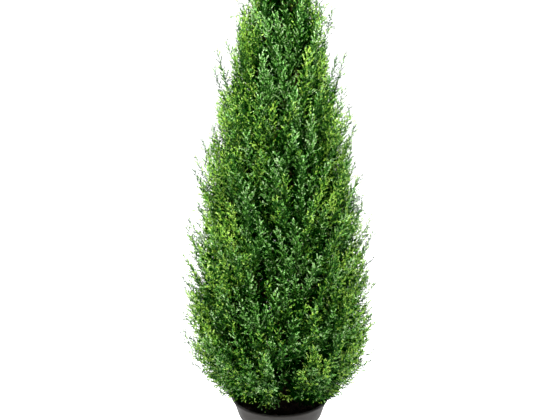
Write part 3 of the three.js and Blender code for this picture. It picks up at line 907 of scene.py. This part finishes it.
# The tint of each group and the tips of its plumes.
LOW_PLUMES = {
    "left": (0.6, [(-0.088, -0.086, 0.224), (-0.066, -0.094, 0.220)]),
    "drooping": (0.1, [
        (-0.038, -0.096, 0.224), (-0.024, -0.094, 0.217), (-0.010, -0.092, 0.224),
        (-0.045, -0.092, 0.210), (-0.031, -0.090, 0.202), (-0.017, -0.088, 0.208),
        (-0.005, -0.088, 0.215)]),
    "tuft": (0.9, [
        (0.006, -0.080, 0.230), (0.014, -0.086, 0.226), (0.023, -0.084, 0.226), (0.034, -0.078, 0.228)]),
    "right": (0.4, [
        (0.052, -0.080, 0.229), (0.067, -0.080, 0.226), (0.081, -0.078, 0.220), (0.095, -0.074, 0.213)]),
    "over_the_lip": (0.9, [(0.106, -0.080, 0.222), (0.120, -0.072, 0.222), (0.134, -0.062, 0.228)]),
    "over_the_gap": (0.1, [
        (-0.020, -0.165, 0.330), (-0.002, -0.172, 0.340), (0.014, -0.165, 0.328), (0.032, -0.170, 0.338)]),
}
LOW_PLUME_BEND = (0.6, 0.6, 0.2)
# The angle of each side and the heights of its plumes.
SIDE_PLUMES = {
    "left": (math.pi, (1.142, 1.107, 1.055, 0.993, 0.812, 0.692, 0.664, 0.603, 0.523, 0.466, 0.385, 0.309)),
    "right": (0, (1.135, 1.083, 0.982, 0.887, 0.749, 0.695, 0.656, 0.576, 0.494, 0.443, 0.394, 0.280)),
}
SIDE_PLUME_REACH = 0.018
SIDE_PLUME_TURN = 0.12
SIDE_PLUME_FULLNESS = 0.8
SIDE_PLUME_BEND = (0.75, 0.75, 0.35)
PLACED_TWIG = 0.7


def placed_sprays(tip, bend, fullness, tint):
    """Sprays with given tips, each from the stem whose end is nearest."""
    masses = [space for tier in tiers for space in tier]
    ends = np.array([space.limb_line(1) for space in masses])
    nearest = [masses[np.argmin(np.linalg.norm(ends - place, axis=-1))] for place in tip]
    root = np.array([space.limb_line(PLACED_TWIG) for space in nearest])
    ones = np.ones(len(tip))
    return Sprays(root, root + (tip - root) * bend, tip, ones > 0, fullness * ones, tint * ones)


def low_sprays():
    """The lowest plumes at the front, which droop over the soil and the lip."""
    tip = np.array([place for _, places in LOW_PLUMES.values() for place in places])
    tint = np.array([tint for tint, places in LOW_PLUMES.values() for _ in places])
    return placed_sprays(tip, LOW_PLUME_BEND, 1, tint)


def side_sprays():
    """Plumes that jut out of the crown at its two sides."""
    height = np.array([height for _, heights in SIDE_PLUMES.values() for height in heights])
    angle = np.array([angle for angle, heights in SIDE_PLUMES.values() for _ in heights])
    angle = angle + growth.normal(0, SIDE_PLUME_TURN, len(angle))
    tip = axis_at(height) + outward(angle) * (crown_radius(height) + SIDE_PLUME_REACH)[:, None]
    return placed_sprays(tip, SIDE_PLUME_BEND, SIDE_PLUME_FULLNESS, 0)


LEADER_SPRAYS = 72
LEADER_FIRST_TWIG = 0.04
LEADER_LAST_TWIG = 0.8
LEADER_LOWEST_TIP = 0.3
LEADER_HIGHEST_TIP = 0.985
LEADER_LEAST_SPREAD = 0.006
LEADER_SPREAD = (0.86, 1.05)
LEADER_BEND = (0.45, 0.45, 0.3)
LEADER_TIP_GAP = 0.006
LEADER_THINNING = 0.0018
LEADER_RINGS = 14


def leader_line(share):
    return axis_at(TRUNK_TIP) + np.multiply.outer(share, (0, 0, CROWN_TOP - TRUNK_TIP - LEADER_TIP_GAP))


def leader_sprays():
    """The tuft at the top of the plant, set spirally round the last of the leading stem."""
    share = (np.arange(LEADER_SPRAYS) + 0.5) / LEADER_SPRAYS
    root = leader_line(between(LEADER_FIRST_TWIG, LEADER_LAST_TWIG, share))
    height = between(TRUNK_TIP, CROWN_TOP, between(LEADER_LOWEST_TIP, LEADER_HIGHEST_TIP, share))
    spread = crown_radius(height) * growth.uniform(*LEADER_SPREAD, LEADER_SPRAYS)
    radius = np.maximum(LEADER_LEAST_SPREAD, spread)
    angle = np.arange(LEADER_SPRAYS) * GOLDEN_TURN
    tip = axis_at(height) + outward(angle) * radius[:, None]
    foot = root + (tip - root) * LEADER_BEND
    ones = np.ones(LEADER_SPRAYS)
    return Sprays(root, foot, tip, ones > 0, ones, 0 * ones)


# Leafy shoots: where each starts, its heading and length, the row of its spray and its share along that.
Shoots = namedtuple("Shoots", "start heading length row share")


def shoots_on(sprays):
    """Side shoots set spirally round the outer part of each spray."""
    leafy = sprays.lengths()
    spacing = np.where(sprays.outer, 1, INNER_SHOOT_SPACING) * SHOOT_SPACING
    counts = np.maximum(LEAST_SHOOTS, np.round(leafy / spacing)).astype(int)
    row = np.repeat(np.arange(len(counts)), counts)
    step = np.arange(counts.sum()) - np.repeat(np.cumsum(counts) - counts, counts)
    share = (step + growth.uniform(*SHOOT_PLACE, len(step))) / counts[row]
    start, axis = sprays.at(row, between(LEAFY_FROM, 1, share))
    first, second = square_to(axis)
    turn = step * GOLDEN_TURN + growth.normal(0, SHOOT_TURN_SPREAD, len(step))
    out = unit(first * np.cos(turn)[:, None] + second * (SHOOT_FLATNESS * np.sin(turn))[:, None])
    lean = SHOOT_LEAN - SHOOT_LEAN_FALL * share + growth.normal(0, SHOOT_LEAN_SPREAD, len(step))
    lean = np.radians(lean)
    heading = axis * np.cos(lean)[:, None] + out * np.sin(lean)[:, None]
    heading = unit(heading + SHOOT_UPLIFT)
    swell = np.sin(math.pi / 2 * np.minimum(1, SWELL_START + share / SWELL_RISE))
    swell = swell * (1 - TIP_SHORTER * share ** TIP_POWER)
    longest = (SHOOT_LEAST + SHOOT_SHARE * leafy[row]) * sprays.fullness[row]
    length = longest * swell * growth.uniform(*SHOOT_LENGTHS, len(step))
    return Shoots(start, heading, length, row, share)


woody = []
green = []
side_shoots = []
shaded_shoots = []
crop = []
for tier in tiers:
    for space in tier:
        stem_from = BOUGH_END if space.tier < BOUGH_TIERS else STEM_FOOT
        share = np.linspace(stem_from, 1, STEM_RINGS)
        woody.append(tubes(space.limb_line(share)[None], space.limb_radius(share)[None], STEM_SIDES))
        sprays = sprays_in(space)
        crop.append((sprays, shoots_on(sprays)))
share = np.linspace(0, 1, LEADER_RINGS)
leader_radii = TRUNK_TIP_RADIUS - LEADER_THINNING * share
woody.append(tubes(leader_line(share)[None], leader_radii[None], STEM_SIDES))
for sprays in (leader_sprays(), low_sprays(), side_sprays()):
    crop.append((sprays, shoots_on(sprays)))

for sprays, shoots in crop:
    rows = np.arange(len(sprays.tip))[:, None]
    for parts, first, last in ((woody, 0, WOODY_UNTIL), (green, WOODY_UNTIL - WOODY_OVERLAP, 1)):
        share = np.broadcast_to(np.linspace(first, last, SPRAY_RINGS), (len(rows), SPRAY_RINGS))
        radii = between(AXIS_RADIUS, AXIS_TIP_RADIUS, share)
        parts.append(tubes(sprays.at(rows, share)[0], radii, SPRAY_SIDES))
    lit = sprays.outer[shoots.row]
    for parts, chosen in ((side_shoots, lit), (shaded_shoots, ~lit)):
        parts.append(spikes(shoots.start[chosen], shoots.heading[chosen], shoots.length[chosen]))


def plain_finish(name, colour, roughness, sheen, refraction=1.5):
    """One base colour all over, for pieces joined from many small things."""
    material, _, _ = new_finish(name, {
        "Base Color": (*colour, 1), "Roughness": roughness, "Specular IOR Level": sheen, "IOR": refraction})
    return material


MASS_NODES = [f"foliage_{space.name}" for tier in tiers for space in tier] + ["foliage_top"]
twig_finish = plain_finish("twig_bark", TWIG_BROWN, roughness=0.85, sheen=0.1)
twigs = piece_of_many("twigs", *joined(woody), twig_finish)
fitted(twigs, MASS_NODES)
shoot_finish = plain_finish("green_shoots", SHOOT_GREEN, roughness=0.6, sheen=0.1)
for name, parts in (("plume_axes", green), ("side_shoots", side_shoots), ("shaded_shoots", shaded_shoots)):
    fitted(piece_of_many(name, *joined(parts), shoot_finish), MASS_NODES)


# Leaves: small soft awl-shaped blades in crossed pairs along every shoot, each folded along its midrib.
# New growth is yellow-green, older leaves deeper green. Painted shade darkens plume bases and hollows and
# makes the inner leaves near black.
# Many plumes at the front and back are cooler green with mint tips: painted reflection and glints. Side
# plumes are painted yellower, as light.
LEAF_SPACING = 0.0044
LEAF_LENGTH = 0.0074
LEAF_WIDTH = 0.0028
LEAF_LEAST_PAIRS = 2
LEAF_ROLL = 0.9
LEAF_FOLD = 0.12
LEAF_LEAN = (38, 18)
LEAF_LEAN_SPREAD = 8
LEAF_TURN_SPREAD = 0.3
LEAF_FIRST_STEP = 0.7
LEAF_SIZES = (0.75, 1.2)
LEAF_TIP_SMALLER = 0.3
LEAF_WIDEST = 0.42
LEAF_CORNERS = 4
LEAF_TRIANGLES = 2
LEAF_COLOURS = {
    "lime": (0.362, 0.607, 0.048),
    # Pale mint tips stand for glints of the lamps: painted highlights.
    "mint": (0.400, 0.620, 0.250),
    "fresh": (0.162, 0.417, 0.016),
    "mid": (0.053, 0.229, 0.006),
    # A cooler green that stands for reflected light: painted reflection.
    "bluish": (0.145, 0.408, 0.052),
    # Older leaves, also used as painted shade low on the plumes.
    "deep": (0.0025, 0.040, 0.001),
    # Leaves inside the crown are near black: painted shade.
    "shaded": (0.001, 0.018, 0.0005),
}
LEAF_SHEEN = {
    "lime": 0.7, "mint": 0.95, "fresh": 0.58, "mid": 0.4, "bluish": 0.62, "deep": 0.05, "shaded": 0.0}
LEAF_ROUGHNESS = 0.42
LEAF_REFRACTION = 1.65
PATCH_SIZE = 0.075
PATCH_TINT = 0.6
TINT_MIDDLE = -0.09
SPRAY_TIP_TINT = 0.6
SPRAY_MIDDLE = 0.5
SHOOT_TIP_TINT = 0.85
SHOOT_MIDDLE = 0.6
SPRAY_TINT_SPREAD = 0.18
LEAF_TINT_SPREAD = 0.5
SHOOT_TINT_SPREAD = 0.4
DEEP_BELOW = -0.05
MID_BELOW = 0.15
LIME_ABOVE = 0.55
MINT_ABOVE = 0.85
COOL_SHARE = 0.76
SIDE_PAINTED_LIGHT = 0.13
NEVER_COOL = 0.25


def leaves_on(shoots, scale):
    """Leaf bases, headings and sides in pairs along each shoot, with the shoot that each grows on."""
    counts = np.maximum(LEAF_LEAST_PAIRS, np.round(shoots.length / (LEAF_SPACING * scale))).astype(int)
    shoot = np.repeat(np.arange(len(counts)), counts)
    step = np.arange(counts.sum()) - np.repeat(np.cumsum(counts) - counts, counts)
    share = (step + LEAF_FIRST_STEP) / counts[shoot]
    first, second = square_to(shoots.heading)
    pairs = []
    for facing in (0, math.pi):
        turn = step * math.pi / 2 + facing + growth.normal(0, LEAF_TURN_SPREAD, len(step))
        out = first[shoot] * np.cos(turn)[:, None] + second[shoot] * np.sin(turn)[:, None]
        lean = between(*LEAF_LEAN, share)
        lean = np.radians(lean + growth.normal(0, LEAF_LEAN_SPREAD, len(step)))
        heading = shoots.heading[shoot] * np.cos(lean)[:, None] + out * np.sin(lean)[:, None]
        aside = unit(np.cross(shoots.heading[shoot], out) + growth.normal(0, LEAF_ROLL, (len(step), 3)))
        base = shoots.start[shoot] + shoots.heading[shoot] * (shoots.length[shoot] * share)[:, None]
        size = growth.uniform(*LEAF_SIZES, len(step)) * (1 - LEAF_TIP_SMALLER * share) * scale[shoot]
        pairs.append((base, unit(heading), aside, size, shoot, share))
    return [np.concatenate(column) for column in zip(*pairs)]


def leaf_blades(base, heading, aside, size):
    """Kite-shaped leaves of two triangles, folded along the midrib."""
    aside = unit(aside - heading * np.sum(aside * heading, -1, keepdims=True))
    face = np.cross(heading, aside)
    length = (LEAF_LENGTH * size)[:, None]
    width = (LEAF_WIDTH * size)[:, None]
    middle = base + heading * (LEAF_WIDEST * length) + face * (LEAF_FOLD * length)
    corners = [base, middle + aside * (width / 2), base + heading * length, middle - aside * (width / 2)]
    vertices = np.stack(corners, 1).reshape(-1, 3)
    first = LEAF_CORNERS * np.arange(len(base))[:, None]
    triangles = np.concatenate([first + (0, 1, 2), first + (0, 2, 3)], 1).reshape(-1, 3)
    return vertices, triangles


def tint_of(sprays):
    """How new and bright each spray is, with hollows darkened as painted shade: it changes from patch to
    patch of the crown and from spray to spray.
    """
    patch = np.array([noise.noise(Vector(tip) / PATCH_SIZE) for tip in sprays.tip])
    return sprays.tint + PATCH_TINT * patch + growth.normal(0, SPRAY_TINT_SPREAD, len(patch))


blades = {name: [] for name in LEAF_COLOURS}
for sprays, shoots in crop:
    # Plumes at the sides face the side lamps and are made yellower, painted light; many at the front and
    # back turn cooler, painted reflection.
    ahead = np.abs(unit(sprays.tip[:, :2])[:, 1])
    fresh = tint_of(sprays) + SIDE_PAINTED_LIGHT * (1 - ahead)
    cool = growth.uniform(0, 1, len(fresh)) < COOL_SHARE * ahead ** 2
    cool = cool & (sprays.tint < NEVER_COOL)
    scale = np.where(sprays.outer[shoots.row], 1, INNER_LEAF_SCALE)
    base, heading, aside, size, shoot, along = leaves_on(shoots, scale)
    row = shoots.row[shoot]
    share = shoots.share[shoot]
    outer = sprays.outer[row]
    # Lower on a spray and on a shoot the leaves are darker: older growth, and painted shade.
    young_and_lit = TINT_MIDDLE + fresh[row] + SPRAY_TIP_TINT * (share - SPRAY_MIDDLE)
    young_and_lit = young_and_lit + SHOOT_TIP_TINT * (along - SHOOT_MIDDLE)
    young_and_lit += growth.normal(0, LEAF_TINT_SPREAD, len(row))
    young_and_lit += growth.normal(0, SHOOT_TINT_SPREAD, len(shoots.row))[shoot]
    cool_leaf = cool[row]
    kind = np.select(
        [~outer, young_and_lit < DEEP_BELOW, young_and_lit < MID_BELOW, cool_leaf & (young_and_lit < MINT_ABOVE), cool_leaf,
         young_and_lit < LIME_ABOVE],
        ["shaded", "deep", "mid", "bluish", "mint", "fresh"], "lime")
    for name in LEAF_COLOURS:
        chosen = kind == name
        if chosen.any():
            blades[name].append(leaf_blades(base[chosen], heading[chosen], aside[chosen], size[chosen]))

LEAVES_PER_PIECE = 95000
for name, colour in LEAF_COLOURS.items():
    finish = plain_finish(f"{name}_leaf", colour, LEAF_ROUGHNESS, LEAF_SHEEN[name], LEAF_REFRACTION)
    vertices, triangles = joined(blades[name])
    pieces = math.ceil(len(vertices) / LEAF_CORNERS / LEAVES_PER_PIECE)
    corners = np.array_split(vertices.reshape(-1, LEAF_CORNERS, 3), pieces)
    faces = np.array_split(triangles.reshape(-1, LEAF_TRIANGLES, 3), pieces)
    for number in range(pieces):
        from_zero = faces[number].reshape(-1, 3) - faces[number].min()
        leaf_piece = piece_of_many(
            f"{name}_leaves_{number + 1}", corners[number].reshape(-1, 3), from_zero, finish)
        fitted(leaf_piece, MASS_NODES)


# Studio: a wide pale floor that rises into a cove all round and glows white behind the plant.
# Soft lamps hang at the upper left, the upper right and in front, and a weak one stands low at the left.
# The camera stands in front of the plant and looks down on it.
FLOOR_RADIUS = 9
COVE_RADIUS = 3
COVE_HEIGHT = 6
COVE_STEPS = 96
COVE_BEND_STEPS = 12
LENS_PIXELS = 850
PICTURE_WIDTH = 560
SENSOR_WIDTH = 36
CAMERA_PLACE = (0, -1.9336, 1.143)
CAMERA_TILT = 13.85
FLOOR_COLOUR = (0.72, 0.72, 0.72)
FLOOR_ROUGHNESS = 0.9
FLOOR_MOTTLE = 0.05
WHITE = (1, 1, 1)
FLOOR_GLOW = 1.0
GLOW_FROM = -5
GLOW_FULL = 1.2
GLOW_NEAR = (0.2, 0.2, 0.2)
SKY_STRENGTH = 0.02
LAMP_AIM = (0, 0, 0.75)
# The place of each lamp, its power in watts and its width.
LAMPS = {
    "left_lamp": ((-1.8, -0.2, 2.2), 98, 0.4),
    "right_lamp": ((1.8, 0.0, 2.2), 72, 0.4),
    "top_lamp": ((0.1, -0.9, 2.5), 78, 0.3),
    "low_lamp": ((-1.2, -1.9, 0.9), 7, 0.3),
}

cove_profile = [(0, 0), (FLOOR_RADIUS, 0)]
for step in range(1, COVE_BEND_STEPS + 1):
    angle = math.pi / 2 * step / COVE_BEND_STEPS
    out = FLOOR_RADIUS + COVE_RADIUS * math.sin(angle)
    cove_profile.append((out, COVE_RADIUS * (1 - math.cos(angle))))
cove_profile.append((FLOOR_RADIUS + COVE_RADIUS, COVE_HEIGHT))
floor_shape = spun(cove_profile, COVE_STEPS)
floor_finish, floor_shader, floor_place = new_finish("pale_floor", {
    "Roughness": FLOOR_ROUGHNESS, "Emission Strength": FLOOR_GLOW})
mottle = cloudy(floor_place, scale=3, detail=2) * FLOOR_MOTTLE
blended(mottle, FLOOR_COLOUR, WHITE).feeds(floor_shader, "Base Color")
behind = floor_place.node("ShaderNodeSeparateXYZ", {}, {"Vector": floor_place}, "Y")
glow = behind.node("ShaderNodeMapRange", {"interpolation_type": "SMOOTHSTEP"}, {
    "Value": behind, "From Min": GLOW_FROM, "From Max": GLOW_FULL})
blended(glow, GLOW_NEAR, WHITE).feeds(floor_shader, "Emission Color")
floor = piece_from(floor_shape, "floor", floor_finish)

sky = bpy.data.worlds.new("sky")
sky.use_nodes = True
background = sky.node_tree.nodes["Background"]
background.inputs["Color"].default_value = (*WHITE, 1)
background.inputs["Strength"].default_value = SKY_STRENGTH
bpy.context.scene.world = sky

for name, (place, power, size) in LAMPS.items():
    lamp_data = bpy.data.lights.new(name, "AREA")
    lamp_data.shape = "DISK"
    lamp_data.size = size
    lamp_data.energy = power
    lamp = bpy.data.objects.new(name, lamp_data)
    lamp.location = place
    lamp.rotation_euler = (Vector(LAMP_AIM) - lamp.location).to_track_quat("-Z", "Y").to_euler()
    bpy.context.scene.collection.objects.link(lamp)

camera_data = bpy.data.cameras.new("camera")
camera_data.sensor_width = SENSOR_WIDTH
camera_data.lens = LENS_PIXELS / PICTURE_WIDTH * SENSOR_WIDTH
camera = bpy.data.objects.new("camera", camera_data)
camera.location = CAMERA_PLACE
camera.rotation_euler = (math.radians(90 - CAMERA_TILT), 0, 0)
bpy.context.scene.collection.objects.link(camera)
bpy.context.scene.camera = camera
bpy.context.scene.view_settings.view_transform = "Standard"
